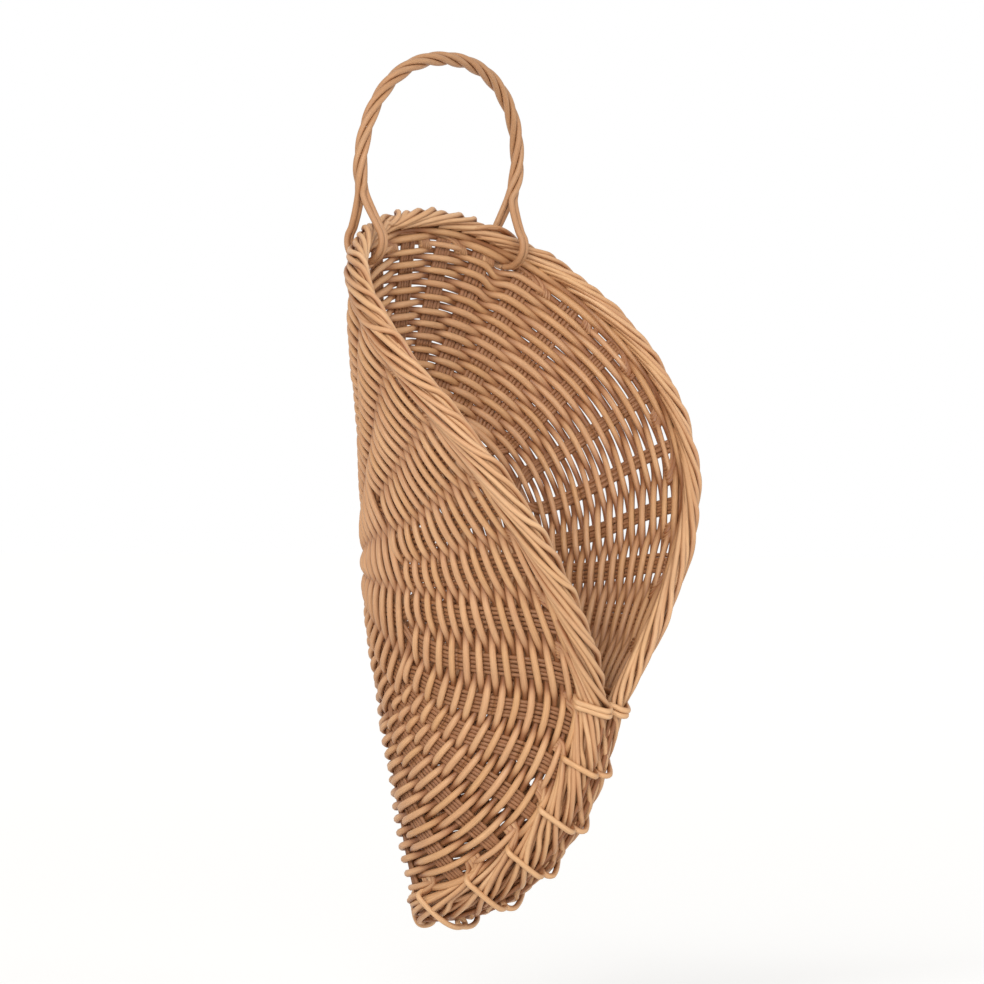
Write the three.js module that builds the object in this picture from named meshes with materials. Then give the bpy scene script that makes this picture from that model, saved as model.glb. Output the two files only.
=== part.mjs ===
// Hanging cornucopia basket: a round woven mat rolled into a horn, laced up its
// lower front, with a plaited rim and a twisted hoop handle looped round the rim.
//
// Frame: millimetres, +Z up. The origin is where the wall peg bears, under the
// crown of the handle. The mouth and the seam face -Y, the back of the horn leans
// on a wall at +Y, and the plane X = 0 mirrors the horn.

import * as THREE from 'three';

// Mat: the flat disc that is rolled up, measured to the outside of its rim
const matRadius = 207;
const weaveThickness = 8;
const centreRadius = 24;
const bandCount = 8;
const jointGap = 0.3;

// Stakes: groups of thin rods that run out from the centre as ribs. Every weaver lies
// over one group and under the next, so the wall is thinnest half way between two.
// Inside the split radius the groups run in pairs. Angles are in degrees from the tip.
const groupCount = 34;
const ribShare = 0.28;
const valleyThickness = 4.8;
const splitRadius = 97;
const crowding = { size: 4.6, middle: 40, width: 28 };
const lowSweep = { size: 9.5, middle: 58, width: 20 };
const highSweep = { size: 4, middle: 102, width: 17 };
const sweepStart = 104;
const sweepRimGap = 6.4;

// Rim: an inner rope of waling and an outer plait of the stakes' ends
const waleWidth = 8;
const waleThickness = 9;
const plaitWidth = 8;
const plaitThickness = 10;

// Roll: how the mat closes into a horn
const seamTopAngle = 66.4;
const mouthFlatDrop = 10;
const seamGap = 0.8;
const bowAtTip = 28.8;
const bowAtTop = 32.2;
const bowSoftness = 0.22;
const curlAtTip = 1.85;
const curlAtMiddle = 1.92;
const curlAtTop = -2.5;
const seamBlend = 0.03;
const foldWidth = 8;

// Lacing: short lengths of rod that bind the two lower edges together
const tieCount = 6;
const tieDiameter = 3.6;
const firstTieAngle = 9;
const lastTieAngle = 66.4;
const tieClearance = 0.6;
const topTieTurns = 2;

// Handle: four rods twisted into a hoop, parted at each foot to straddle the rim
const handleRise = 82;
const wallOffset = 44;
const handleHalfWidth = 76.5;
const handleSquareness = 2.2;
const handleWidestDrop = 60;
const rodDiameter = 3.3;
const twistTurns = 4;
const footAngle = 20.6;
const footSplitHeight = 27;
const footLoopClearance = 2.55;
const footNotchClearance = 0.8;
const footLegLean = 50;

// How finely curves are divided
const tipRibs = 2;
const rimSides = 8;
const rodSides = 6;
const hoopSteps = 48;
const middleSteps = 24;
const footSteps = 6;
const tieSteps = 18;
const sectionSteps = 24;
const bisectionSteps = 40;

const degree = Math.PI / 180;
const matCentreHeight = -(handleRise + matRadius);
const plaitCentreRadius = matRadius - plaitWidth / 2;
const waleCentreRadius = matRadius - plaitWidth - jointGap - waleWidth / 2;
const rimWidth = plaitWidth + jointGap + waleWidth;
const rimCentreRadius = matRadius - rimWidth / 2;
const weaveRadius = matRadius - rimWidth - jointGap;
const tieHoleRadius = weaveRadius - tieClearance - tieDiameter / 2;
const sweepEnd = weaveRadius - sweepRimGap;
const seamTopHeight = -matRadius * Math.cos(seamTopAngle * degree);
const mouthFlatHeight = matRadius - mouthFlatDrop;
const footLoopRadius = rimWidth / 2 + rodDiameter / 2 + footLoopClearance;
const rodSpread = (rodDiameter + jointGap) / 2;

const cane = { color: 0xcb9a6e, roughness: 0.62, metalness: 0 };
const rimCane = { color: 0xd2a074, roughness: 0.6, metalness: 0 };
const lacingCane = { color: 0xd9a97c, roughness: 0.58, metalness: 0 };
const handleCane = { color: 0xc8935f, roughness: 0.56, metalness: 0 };

const basket = new THREE.Group();

function clamp(value, low, high) {
  return Math.min(Math.max(value, low), high);
}

function smoothStep(value) {
  const share = clamp(value, 0, 1);
  return share * share * (3 - 2 * share);
}

// Half the width of the flat mat at a height above its centre
function halfWidthAt(height) {
  return Math.sqrt(Math.max(matRadius ** 2 - height ** 2, 0) + foldWidth ** 2);
}

// How far the back of the horn stands off the wall: a hyperbola, bowed forwards
// towards the tip and towards the top
function spineForward(height) {
  const bow = height > 0 ? bowAtTop : bowAtTip;
  const share = Math.hypot(height / matRadius, bowSoftness) - bowSoftness;
  return bow * share / (Math.hypot(1, bowSoftness) - bowSoftness);
}

// Where along a half section the bending sits: above 0 near the back, below 0
// near the rim
function curlAt(height) {
  const share = height / matRadius;
  if (share < 0) {
    return curlAtMiddle - (curlAtTip - curlAtMiddle) * share;
  }
  return curlAtMiddle + (curlAtTop - curlAtMiddle) * smoothStep(share);
}

// The part of the whole bend that is made by the share t of the half width
function bendShare(curl, t) {
  if (Math.abs(curl) < 1e-4) {
    return t;
  }
  return (1 - Math.exp(-curl * t)) / (1 - Math.exp(-curl));
}

// The half gap between the edges as a share of the half width: low down the two
// rims stop just short of each other, higher up the mouth widens evenly until the
// mat is flat near the top. The plait's oval, which is drawn out where a level cuts
// it aslant, reaches less far beyond its edge the more the wall has turned inwards.
function opennessAt(height, whole) {
  const turned = Math.max(whole - Math.PI / 2, 0);
  const along = Math.sin(turned) * plaitWidth / 2 * matRadius / halfWidthAt(height);
  const reach = Math.hypot(along, Math.cos(turned) * plaitThickness / 2) - along;
  const closed = Math.min((seamGap / 2 + reach) / halfWidthAt(height), 1);
  const open = (height - seamTopHeight) / (mouthFlatHeight - seamTopHeight);
  const blended = (open + closed + Math.hypot(open - closed, seamBlend)) / 2;
  return Math.min(blended, 0.998);
}

// Middle surface at share t: forward and sideways distances per unit half width,
// the direction turning by whole * bendShare
function walkSection(whole, curl, t) {
  const end = Math.min(t, 1);
  let forward = 0;
  let sideways = 0;
  for (let step = 0; step < sectionSteps; step += 1) {
    const middle = end * (step + 0.5) / sectionSteps;
    const angle = whole * bendShare(curl, middle);
    forward += Math.sin(angle) * end / sectionSteps;
    sideways += Math.cos(angle) * end / sectionSteps;
  }
  const beyond = Math.max(t - 1, 0);
  forward += Math.sin(whole) * beyond;
  sideways += Math.cos(whole) * beyond;
  return { forward, sideways };
}

// The value between low and high where a test turns from true to false
function turningPoint(low, high, test) {
  let from = low;
  let to = high;
  for (let step = 0; step < bisectionSteps; step += 1) {
    const middle = (from + to) / 2;
    if (test(middle)) {
      from = middle;
    } else {
      to = middle;
    }
  }
  return (from + to) / 2;
}

// The whole bend that leaves the wanted half gap at the edge
function wholeBendAt(height) {
  const curl = curlAt(height);
  return turningPoint(0, 3.6, (whole) =>
    walkSection(whole, curl, 1).sideways > opennessAt(height, whole));
}

// A point of the rolled mat's middle surface, from flat coordinates: across from
// the spine and height above the mat's centre
function middlePoint(across, height) {
  const halfWidth = halfWidthAt(height);
  const share = Math.abs(across) / halfWidth;
  const walked = walkSection(wholeBendAt(height), curlAt(height), share);
  return new THREE.Vector3(
    Math.sign(across) * walked.sideways * halfWidth,
    wallOffset - spineForward(height) - walked.forward * halfWidth,
    matCentreHeight + height,
  );
}

// A point at a radius and an angle round the flat mat, the angle counted from the
// tip, and a distance out of the horn along the surface's normal
function matPoint(radius, angle, outward) {
  const across = radius * Math.sin(angle);
  const height = -radius * Math.cos(angle);
  const reach = 0.6;
  const point = middlePoint(across, height);
  if (outward === 0) {
    return point;
  }
  const alongAcross = middlePoint(across + reach, height).sub(middlePoint(across - reach, height));
  const alongHeight = middlePoint(across, height + reach).sub(middlePoint(across, height - reach));
  const normal = alongHeight.cross(alongAcross).normalize();
  return point.addScaledVector(normal, outward);
}

function addPiece(name, geometry, finish) {
  const mesh = new THREE.Mesh(geometry, new THREE.MeshStandardMaterial(finish));
  mesh.name = name;
  basket.add(mesh);
  return mesh;
}

// A closed body from points and triangles, turned so that its faces point out
function closedBody(points, triangles) {
  let volume = 0;
  for (const [a, b, c] of triangles) {
    volume += points[a].dot(points[b].clone().cross(points[c]));
  }
  const faces = volume > 0 ? triangles : triangles.map(([a, b, c]) => [a, c, b]);
  const geometry = new THREE.BufferGeometry();
  geometry.setFromPoints(points);
  geometry.setIndex(faces.flat());
  geometry.computeVertexNormals();
  return geometry;
}

// Joins rings of equally many points into a closed body: the last ring meets the
// first, or both ends are capped. Each quad is split along its shorter diagonal, so
// that two neighbouring walls are split alike.
function joinRings(rings, endless) {
  const sides = rings[0].length;
  const points = rings.flat();
  const triangles = [];
  const spans = endless ? rings.length : rings.length - 1;
  for (let ring = 0; ring < spans; ring += 1) {
    const here = ring * sides;
    const next = ((ring + 1) % rings.length) * sides;
    for (let side = 0; side < sides; side += 1) {
      const other = (side + 1) % sides;
      const quad = [here + side, next + side, next + other, here + other];
      const [a, b, c, d] = quad;
      if (points[a].distanceTo(points[c]) < points[b].distanceTo(points[d])) {
        triangles.push([a, b, c], [a, c, d]);
      } else {
        triangles.push([a, b, d], [b, c, d]);
      }
    }
  }
  if (!endless) {
    const last = (rings.length - 1) * sides;
    for (let side = 1; side < sides - 1; side += 1) {
      triangles.push([0, side, side + 1]);
      triangles.push([last, last + side + 1, last + side]);
    }
  }
  return closedBody(points, triangles);
}

// A bell-shaped amount: its full size at its middle, 1/e of it at its width
function bellAt(bell, value) {
  return bell.size * Math.exp(-(((value - bell.middle) / bell.width) ** 2));
}

// The angle at a radius of a place that is counted in stake groups from the tip. At
// the rim the groups are shifted away from the tip by the crowding; further in, below
// the holes of the lacing, they sweep back towards it.
function groupAngle(group, radius) {
  const even = 360 / groupCount * Math.abs(group);
  const atRim = even + bellAt(crowding, even) - bellAt(crowding, -even);
  const swept = bellAt(lowSweep, atRim) + bellAt(highSweep, atRim);
  const share = smoothStep((sweepEnd - radius) / (sweepEnd - sweepStart));
  return Math.sign(group) * (atRim - swept * share) * degree;
}

// The wall's thickness at a place between the stakes: whole along each rib, and thinner
// evenly towards the place half way to the next one. A line runs at every half group,
// or at every odd group where they run in pairs.
function thicknessAt(group, radius) {
  const place = radius < splitRadius ? (Math.abs(group) + 1) / 2 : Math.abs(group) + 0.5;
  const apart = Math.abs(place - Math.round(place));
  const share = clamp((0.5 - apart) / (0.5 - ribShare), 0, 1);
  return valleyThickness + (weaveThickness - valleyThickness) * share;
}

// An oval ring of points round a centre, across two directions
function sectionAt(centre, first, second, firstSize, secondSize) {
  const ring = [];
  for (let side = 0; side < rodSides; side += 1) {
    const turn = 2 * Math.PI * (side + 0.5) / rodSides;
    const point = centre.clone();
    point.addScaledVector(first, Math.cos(turn) * firstSize / 2);
    point.addScaledVector(second, Math.sin(turn) * secondSize / 2);
    ring.push(point);
  }
  return ring;
}

// A rod of round section through a row of points, its section carried along
// without turning about the rod, and its ends square to a given direction
function rodThrough(points, diameter, endDirection) {
  const rings = [];
  const last = points.length - 1;
  let first = new THREE.Vector3(1, 0, 0);
  points.forEach((point, index) => {
    let tangent = endDirection;
    if (index > 0 && index < last) {
      tangent = points[index + 1].clone().sub(points[index - 1]).normalize();
    } else if (index === last) {
      tangent = endDirection.clone().negate();
    }
    first = first.clone().addScaledVector(tangent, -first.dot(tangent)).normalize();
    rings.push(sectionAt(point, first, tangent.clone().cross(first), diameter, diameter));
  });
  return joinRings(rings, false);
}

// A closed loop of rod whose section is widened sideways, as wide as the turns that
// lie side by side in it. The sideways direction's x grows with the distance from
// the mirror plane, up to its full value at a reach.
function loopAlong(curve, diameter, steps, sideways, reach, turns) {
  const rings = [];
  for (let step = 0; step < steps; step += 1) {
    const tangent = curve.getTangentAt(step / steps);
    const centre = curve.getPointAt(step / steps);
    const share = reach > 0 ? clamp(centre.x / reach, -1, 1) : 1;
    const local = sideways.clone().setX(sideways.x * share);
    const height = tangent.clone().cross(local).normalize();
    const width = height.clone().cross(tangent);
    rings.push(sectionAt(centre, height, width, diameter, diameter * turns));
  }
  return joinRings(rings, true);
}

const tieAngles = Array.from({ length: tieCount }, (unused, index) => {
  const share = tieCount > 1 ? index / (tieCount - 1) : 0;
  return (lastTieAngle + (firstTieAngle - lastTieAngle) * share) * degree;
});

// Foot of the handle: the middle of the rim's section, which the handle turns on
const footHeight = rimCentreRadius * Math.cos(footAngle * degree);
const footPoint = matPoint(rimCentreRadius, Math.PI - footAngle * degree, 0);

// Flat distance across from the spine of the point that stands at x at a height
function acrossAt(x, height) {
  return turningPoint(0, matRadius, (across) => middlePoint(across, height).x < x);
}

// Where the loops of the foot pass through the weave, straight below the foot
const crossingHeight = turningPoint(footHeight - 2 * footLoopRadius, footHeight, (height) =>
  middlePoint(acrossAt(footPoint.x, height), height).distanceTo(footPoint) > footLoopRadius);
const crossingAcross = acrossAt(footPoint.x, crossingHeight);
const crossingPoint = middlePoint(crossingAcross, crossingHeight);

// Openings in the outermost band's edge that the lacing and the handle pass
// through: the middle angle, the half angle and the depth of each
function edgeNotches() {
  const halfTie = (tieDiameter / 2 + tieClearance) / tieHoleRadius;
  const tieDepth = tieDiameter + 2 * tieClearance;
  const notches = tieAngles.map((angle, index) => ({
    angle,
    half: index === 0 ? halfTie * topTieTurns : halfTie,
    depth: tieDepth,
  }));
  const radius = Math.hypot(crossingAcross, crossingHeight);
  const angle = Math.atan2(crossingAcross, crossingHeight);
  const outward = matPoint(radius, Math.PI - angle, 1).sub(crossingPoint);
  const slant = weaveThickness / 2 * Math.abs(outward.x / outward.y);
  const halfPair = rodDiameter + jointGap / 2 + footNotchClearance + slant;
  const halfRod = rodDiameter / 2 + footNotchClearance;
  notches.push({ angle: 0, half: halfTie, depth: tieDepth });
  notches.push({
    angle: Math.PI - angle,
    half: (halfPair * Math.cos(angle) + halfRod * Math.sin(angle)) / radius,
    depth: weaveRadius - radius + halfPair * Math.sin(angle) + halfRod * Math.cos(angle),
  });
  return notches;
}

// Places shared by every ring of the mat, counted in stake groups from the tip: both
// sides of each rib and half way to the next, and a pair at each side of each notch.
// Near the tip, where the mat folds sharply, the ribs' middles are added.
function sharedPlaces(notches) {
  const slope = 0.002;
  const positive = [];
  for (let rib = 0; rib < groupCount / 2; rib += 1) {
    const middle = rib + 0.5;
    positive.push(rib, middle - ribShare, middle + ribShare);
    if (rib < tipRibs) {
      positive.push(middle);
    }
  }
  const kept = positive.filter((place) => place > 0 && notches.every((notch) =>
    Math.abs(groupAngle(place, matRadius) - notch.angle) > notch.half + 3 * slope));
  for (const notch of notches) {
    for (const reach of [-notch.half - slope, -notch.half, notch.half, notch.half + slope]) {
      const angle = notch.angle + reach;
      if (angle > 0) {
        kept.push(turningPoint(0, groupCount / 2, (place) => groupAngle(place, matRadius) < angle));
      }
    }
  }
  kept.sort((first, second) => first - second);
  const negative = kept.map((place) => -place).reverse();
  return [-groupCount / 2, ...negative, 0, ...kept];
}

// Woven centre: a disc with a pole on each face
function makeCentre(places) {
  const points = [matPoint(0, 0, weaveThickness / 2), matPoint(0, 0, -weaveThickness / 2)];
  const triangles = [];
  for (const place of places) {
    const half = thicknessAt(place, centreRadius) / 2;
    points.push(matPoint(centreRadius, groupAngle(place, centreRadius), half));
    points.push(matPoint(centreRadius, groupAngle(place, centreRadius), -half));
  }
  for (let index = 0; index < places.length; index += 1) {
    const here = 2 + 2 * index;
    const next = 2 + 2 * ((index + 1) % places.length);
    triangles.push([0, here, next], [1, next + 1, here + 1]);
    triangles.push([here, here + 1, next + 1], [here, next + 1, next]);
  }
  addPiece('woven_centre', closedBody(points, triangles), cane);
}

// Bands of weaving: the rounds made with one pair of weavers, as a ring of wall
function makeBands(places, edgeCuts) {
  const step = (weaveRadius - centreRadius) / bandCount;
  for (let index = 0; index < bandCount; index += 1) {
    const outermost = index === bandCount - 1;
    const inner = centreRadius + index * step + jointGap;
    const outer = centreRadius + (index + 1) * step;
    const notches = outermost ? edgeCuts : [];
    const rings = places.map((place) => {
      const atRim = Math.abs(groupAngle(place, matRadius));
      const notch = notches.find((entry) => Math.abs(atRim - entry.angle) <= entry.half + 1e-9);
      const edge = notch ? outer - notch.depth : outer;
      const halves = [inner, edge].map((radius) => thicknessAt(place, radius) / 2);
      return [
        matPoint(inner, groupAngle(place, inner), halves[0]),
        matPoint(edge, groupAngle(place, edge), halves[1]),
        matPoint(edge, groupAngle(place, edge), -halves[1]),
        matPoint(inner, groupAngle(place, inner), -halves[0]),
      ];
    });
    addPiece(`weave_band_${index + 1}`, joinRings(rings, true), cane);
  }
}

// A rope of the rim: an oval section carried round the whole edge of the mat
function makeRope(name, places, centre, width, thickness) {
  const rings = places.map((place) => {
    const angle = groupAngle(place, centre);
    const ring = [];
    for (let side = 0; side < rimSides; side += 1) {
      const turn = 2 * Math.PI * (side + 0.5) / rimSides;
      const radius = centre + Math.cos(turn) * width / 2;
      ring.push(matPoint(radius, angle, Math.sin(turn) * thickness / 2));
    }
    return ring;
  });
  addPiece(name, joinRings(rings, true), rimCane);
}

// Half of a path round the rim at an angle: from inside the weave below it, out
// through the hole and over the rim's outer face to its edge
function overRim(angle) {
  const below = weaveThickness / 2 + tieDiameter / 2 + tieClearance;
  const overWale = waleThickness / 2 + tieDiameter / 2 + tieClearance;
  const overPlait = plaitThickness / 2 + tieDiameter / 2 + tieClearance;
  const beyond = matRadius + tieDiameter / 2 + tieClearance;
  return [
    matPoint(tieHoleRadius, angle, 0),
    matPoint(tieHoleRadius + 1, angle, below),
    matPoint(waleCentreRadius, angle, overWale),
    matPoint(plaitCentreRadius, angle, overPlait),
    matPoint(matRadius - plaitWidth * 0.1, angle, overPlait * 0.9),
    matPoint(beyond, angle, overPlait * 0.4),
  ];
}

// Seam ties: each is a closed loop over both rims and through the weave below them
function makeTies() {
  const below = weaveThickness / 2 + tieDiameter / 2 + tieClearance;
  tieAngles.forEach((angle, index) => {
    const right = [matPoint(tieHoleRadius, angle, -below), ...overRim(angle)];
    const left = [matPoint(tieHoleRadius, -angle, -below), ...overRim(-angle)];
    const curve = new THREE.CatmullRomCurve3([...right, ...left.reverse()], true, 'centripetal');
    const alongRim = matPoint(matRadius, angle + 0.01, 0).sub(matPoint(matRadius, angle - 0.01, 0));
    const turns = index === 0 ? topTieTurns : 1;
    const reach = matPoint(plaitCentreRadius, angle, 0).x;
    const geometry = loopAlong(curve, tieDiameter, tieSteps, alongRim, reach, turns);
    addPiece(`seam_tie_${index + 1}`, geometry, lacingCane);
  });
}

// Binding at the very tip: a closed loop round the folded rim and through the weave
function makeTipBinding() {
  const over = plaitThickness / 2 + tieDiameter / 2 + tieClearance;
  const middle = matPoint(rimCentreRadius, 0, 0);
  const outward = matPoint(rimCentreRadius, 0, 1).sub(middle);
  const down = matPoint(matRadius, 0, 0).sub(matPoint(weaveRadius, 0, 0)).normalize();
  const halfHeight = rimWidth / 2 + jointGap + tieDiameter / 2 + tieClearance;
  const points = [];
  for (let index = 0; index < 12; index += 1) {
    const turn = Math.PI * index / 6;
    const flat = Math.sign(Math.cos(turn)) * Math.abs(Math.cos(turn)) ** 0.7;
    const high = Math.sign(Math.sin(turn)) * Math.abs(Math.sin(turn)) ** 0.7;
    const point = middle.clone().addScaledVector(down, flat * halfHeight);
    points.push(point.addScaledVector(outward, high * over));
  }
  const curve = new THREE.CatmullRomCurve3(points, true, 'centripetal');
  const geometry = loopAlong(curve, tieDiameter, tieSteps, new THREE.Vector3(1, 0, 0), 0, 1);
  addPiece('tip_binding', geometry, lacingCane);
}

// Where the legs part above each foot, half way in from the hoop's widest place
const partingHeight = footPoint.z + footSplitHeight;
const partingHalfWidth = (footPoint.x + handleHalfWidth) / 2;

// The hoop's middle line from the left parting to the right one: the upper half of
// a squared ellipse, leaning back over the feet as it comes down
function makeMiddleLine() {
  const crown = rodSpread * Math.SQRT2 + rodDiameter / 2;
  const points = [new THREE.Vector3(-partingHalfWidth, footPoint.y, partingHeight)];
  for (let index = 0; index <= middleSteps; index += 1) {
    const turn = Math.PI * (1 - index / middleSteps);
    const power = 2 / handleSquareness;
    const across = Math.sign(Math.cos(turn)) * Math.abs(Math.cos(turn)) ** power;
    const height = crown - (1 - Math.sin(turn) ** power) * (handleWidestDrop + crown);
    const lean = (crown - height) / (crown - partingHeight);
    points.push(new THREE.Vector3(across * handleHalfWidth, lean * footPoint.y, height));
  }
  points.push(new THREE.Vector3(partingHalfWidth, footPoint.y, partingHeight));
  return new THREE.CatmullRomCurve3(points, false, 'centripetal');
}

// Direction from the foot to the place under the rim where the rods' ends meet
const meetingAngle = Math.atan2(crossingPoint.z - footPoint.z, crossingPoint.y - footPoint.y);

// One rod's half loop under the rim at a foot, from below it up to a lean inwards
function footLoop(hand, sideX, sideY) {
  const start = meetingAngle + sideY * jointGap / 2 / footLoopRadius;
  const end = -Math.PI / 2 + sideY * (Math.PI - footLegLean * degree);
  const points = [];
  for (let index = 0; index <= footSteps; index += 1) {
    const turn = start + (end - start) * index / footSteps;
    points.push(new THREE.Vector3(
      hand * (footPoint.x - sideX * rodSpread),
      footPoint.y + Math.cos(turn) * footLoopRadius,
      footPoint.z + Math.sin(turn) * footLoopRadius,
    ));
  }
  return points;
}

// Handle: each rod makes half a loop under the rim, twists round the others over
// the hoop and makes half a loop at the other foot
function makeHandle() {
  const middleLine = makeMiddleLine();
  for (let rod = 0; rod < 4; rod += 1) {
    const start = Math.PI / 4 + rod * Math.PI / 2;
    const hoop = [];
    for (let index = 0; index <= hoopSteps; index += 1) {
      const share = index / hoopSteps;
      const tangent = middleLine.getTangentAt(share);
      const across = new THREE.Vector3(0, 1, 0).cross(tangent).normalize();
      const back = tangent.clone().cross(across).normalize();
      const turn = start + 2 * Math.PI * twistTurns * share;
      const point = middleLine.getPointAt(share);
      point.addScaledVector(across, Math.cos(turn) * rodSpread * Math.SQRT2);
      point.addScaledVector(back, Math.sin(turn) * rodSpread * Math.SQRT2);
      hoop.push(point);
    }
    const sideX = Math.sign(Math.cos(start));
    const sideY = Math.sign(Math.sin(start));
    const path = [...footLoop(-1, sideX, sideY), ...hoop, ...footLoop(1, sideX, sideY).reverse()];
    const spine = new THREE.CatmullRomCurve3(path, false, 'centripetal');
    const stops = path.length - 1;
    const joints = [footSteps, stops - footSteps - 1];
    const points = [];
    for (let index = 0; index <= stops; index += 1) {
      points.push(path[index]);
      if (joints.includes(index)) {
        points.push(spine.getPoint((index + 1 / 3) / stops), spine.getPoint((index + 2 / 3) / stops));
      }
    }
    const endDirection = new THREE.Vector3(0, -Math.sin(meetingAngle), Math.cos(meetingAngle));
    endDirection.multiplyScalar(sideY);
    const geometry = rodThrough(points, rodDiameter, endDirection);
    addPiece(`handle_rod_${rod + 1}`, geometry, handleCane);
  }
}

const edgeCuts = edgeNotches();
const places = sharedPlaces(edgeCuts);
makeCentre(places);
makeBands(places, edgeCuts);
makeRope('rim_wale', places, waleCentreRadius, waleWidth, waleThickness);
makeRope('rim_plait', places, plaitCentreRadius, plaitWidth, plaitThickness);
makeTies();
makeTipBinding();
makeHandle();

export default basket;
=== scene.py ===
import math

import bpy
import numpy as np
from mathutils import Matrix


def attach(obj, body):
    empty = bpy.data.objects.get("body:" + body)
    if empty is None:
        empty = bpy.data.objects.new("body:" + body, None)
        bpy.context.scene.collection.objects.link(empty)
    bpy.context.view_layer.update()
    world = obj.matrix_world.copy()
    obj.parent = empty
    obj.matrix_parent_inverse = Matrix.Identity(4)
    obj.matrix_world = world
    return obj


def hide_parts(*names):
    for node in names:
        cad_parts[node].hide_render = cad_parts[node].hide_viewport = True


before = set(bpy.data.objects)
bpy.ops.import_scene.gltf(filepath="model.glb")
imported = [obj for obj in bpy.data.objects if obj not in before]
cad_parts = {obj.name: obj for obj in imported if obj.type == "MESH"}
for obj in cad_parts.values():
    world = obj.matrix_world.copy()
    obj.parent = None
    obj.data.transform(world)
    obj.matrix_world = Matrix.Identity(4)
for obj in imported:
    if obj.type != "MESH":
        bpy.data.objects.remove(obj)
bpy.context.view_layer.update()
chance = np.random.default_rng(11)
print("frame loaded", len(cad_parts), "nodes")

# The photograph looks level at the basket from its front left, from far away. A pixel shows 0.58 mm, and the
# image's centre shows the point that lies across to the camera's right and height above the origin, in mm.
camera = {"azimuth": -54.0, "elevation": 0.0, "distance": 5.0, "pixel": 0.58, "image": 984, "across": 26.1,
          "height": -247.0, "sensor": 36.0}


def makeCamera(values):
    # stands at distance along (sin a cos e, -cos a cos e, sin e) from the point at the image's centre
    a, e = math.radians(values["azimuth"]), math.radians(values["elevation"])
    away = np.array([math.sin(a) * math.cos(e), -math.cos(a) * math.cos(e), math.sin(e)])
    right = np.array([math.cos(a), math.sin(a), 0])
    target = right * values["across"] / 1000 + np.array([0, 0, values["height"] / 1000])
    data = bpy.data.cameras.new("camera")
    data.sensor_width = values["sensor"]
    data.lens = values["sensor"] * values["distance"] / (values["pixel"] * values["image"] / 1000)
    data.clip_end = 100
    item = bpy.data.objects.new("camera", data)
    item.location = target + away * values["distance"]
    item.rotation_euler = (math.pi / 2 - e, 0, a)
    bpy.context.scene.collection.objects.link(item)
    bpy.context.scene.camera = item


makeCamera(camera)
print("camera placed")

# What all the cane shares: the strength and depth (metres) of its pores, the painted shade down in the weave
# (its most and its colour), and wood's usual IOR. Pores darken by the whole grain and lighten by a share of
# it, and blotches vary the gloss.
cane = {"bump": 0.5, "poreDepth": 0.0003, "lighten": 0.6, "smoother": 0.07, "rougher": 0.09,
        "paintedShade": 0.8, "paintedShadeColour": "#7A3C0C", "ior": 1.5}


def linear(code):
    # sRGB hex to linear: the standard curve, a straight part below 0.04045 and a power of 2.4 above
    part = np.array([int(code[i:i + 2], 16) for i in (1, 3, 5)]) / 255
    part = np.where(part <= 0.04045, part / 12.92, ((part + 0.055) / 1.055) ** 2.4)
    return (*part.tolist(), 1.0)


def addNode(tree, kind, settings, inputs):
    # a node with its settings; an input is a plain value, or a (node, socket) pair that is linked
    node = tree.nodes.new(kind)
    for key, value in settings.items():
        setattr(node, key, value)
    for key, value in inputs.items():
        if isinstance(value, tuple) and isinstance(value[0], bpy.types.Node):
            tree.links.new(value[0].outputs[value[1]], node.inputs[key])
        else:
            node.inputs[key].default_value = value
    return node


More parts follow.
